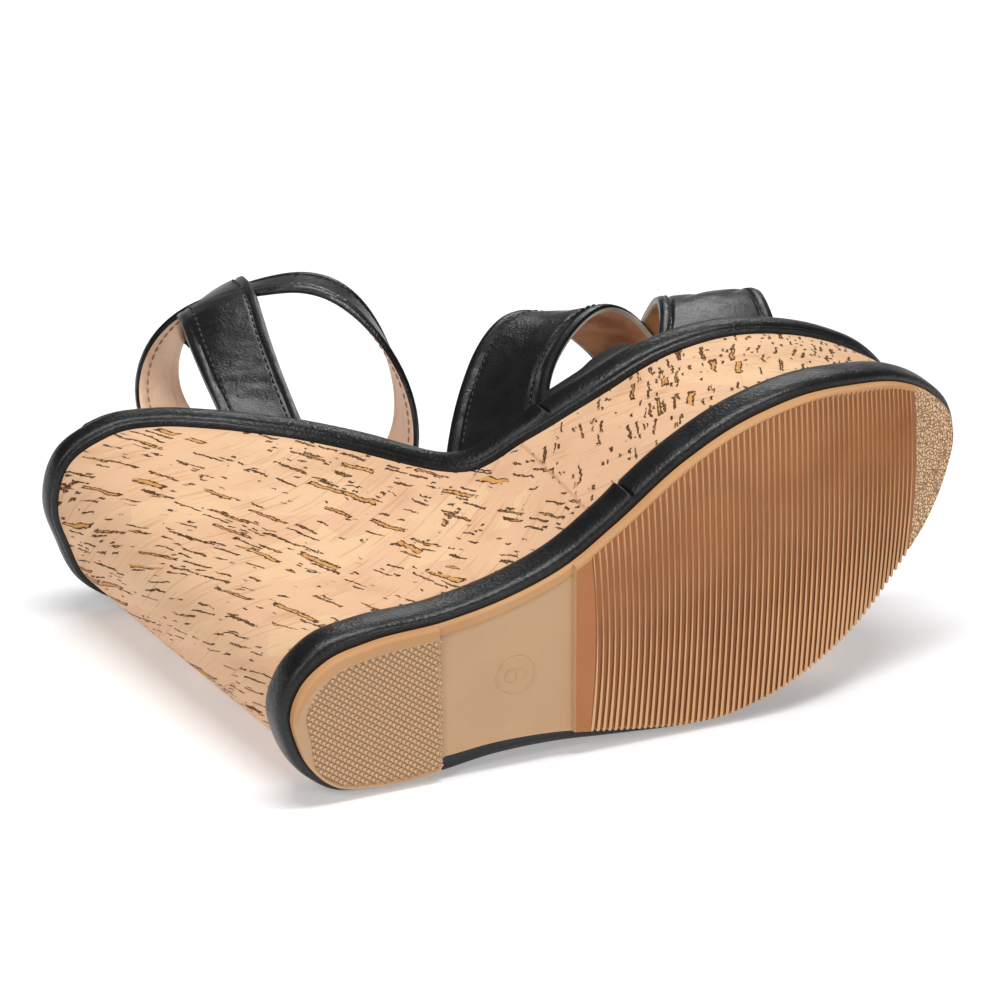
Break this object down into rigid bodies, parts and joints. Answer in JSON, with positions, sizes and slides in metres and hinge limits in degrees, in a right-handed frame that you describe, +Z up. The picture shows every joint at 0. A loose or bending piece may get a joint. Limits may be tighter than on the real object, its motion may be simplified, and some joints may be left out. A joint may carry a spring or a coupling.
{
  "type": "platform sandal",
  "caption": "Left platform wedge sandal: crossed leather bands and an ankle strap over a cork-covered wedge on a ribbed rubber sole, lying on its outer side.",
  "frame": {"origin": "centre of the sandal's bounding box at floor level, with the sandal lying on its outer side", "axes": "+X towards the toe, +Y from the outsole towards the straps, +Z up, which is the inner side of the foot"},
  "size_m": [0.2108, 0.2126, 0.091],
  "materials": {
    "black_leather": "soft sheen",
    "insole_leather": "matt",
    "cork": "matt cork veneer",
    "tan_rubber": "matt"
  },
  "bodies": {
    "root": {"outsole": "tan_rubber", "base_board": "black_leather", "cork_wedge": "cork", "bed_board": "black_leather", "insole": "insole_leather", "toe_band": "black_leather", "instep_band": "black_leather", "inner_quarter": "black_leather", "outer_quarter": "black_leather", "ankle_strap": "black_leather"}
  },
  "joints": []
}
